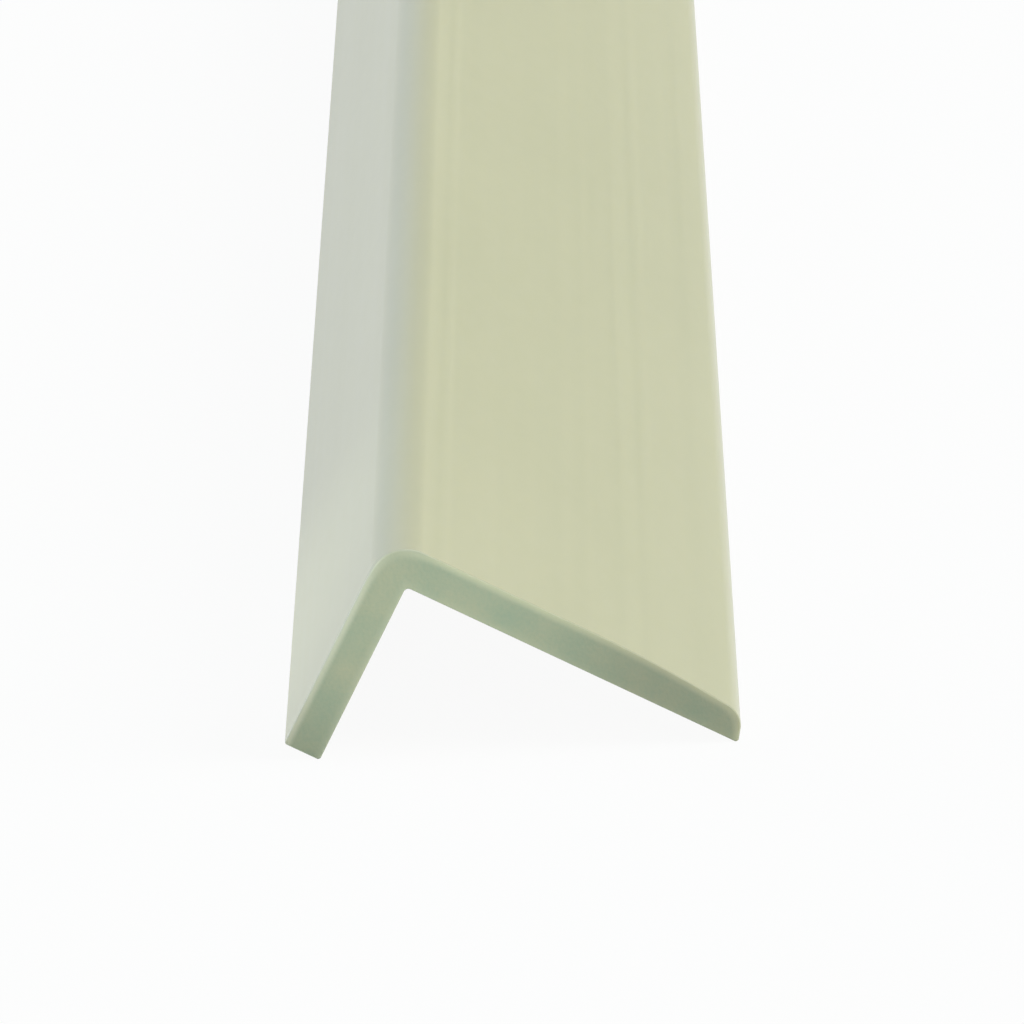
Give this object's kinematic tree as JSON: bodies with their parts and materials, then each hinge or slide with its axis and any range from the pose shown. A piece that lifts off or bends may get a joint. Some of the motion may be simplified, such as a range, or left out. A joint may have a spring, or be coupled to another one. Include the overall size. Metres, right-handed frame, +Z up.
{
  "type": "wall panel corner trim",
  "caption": "Long extruded plastic angle with unequal legs, a rounded outer corner and a crowned, leaning edge on the long leg; glued over an outside corner to cover wall panel edges.",
  "frame": {"origin": "on the floor, under the middle of the bounding box, with the trim lying astride on its two leg tips", "axes": "+Y along the length, away from the sawn end that the picture shows; +X towards the long leg's tip; +Z up, towards the rounded outer corner"},
  "size_m": [0.0364, 1.2192, 0.017],
  "materials": {
    "trim_plastic": "satin"
  },
  "bodies": {
    "root": {"corner_trim": "trim_plastic"}
  },
  "joints": []
}
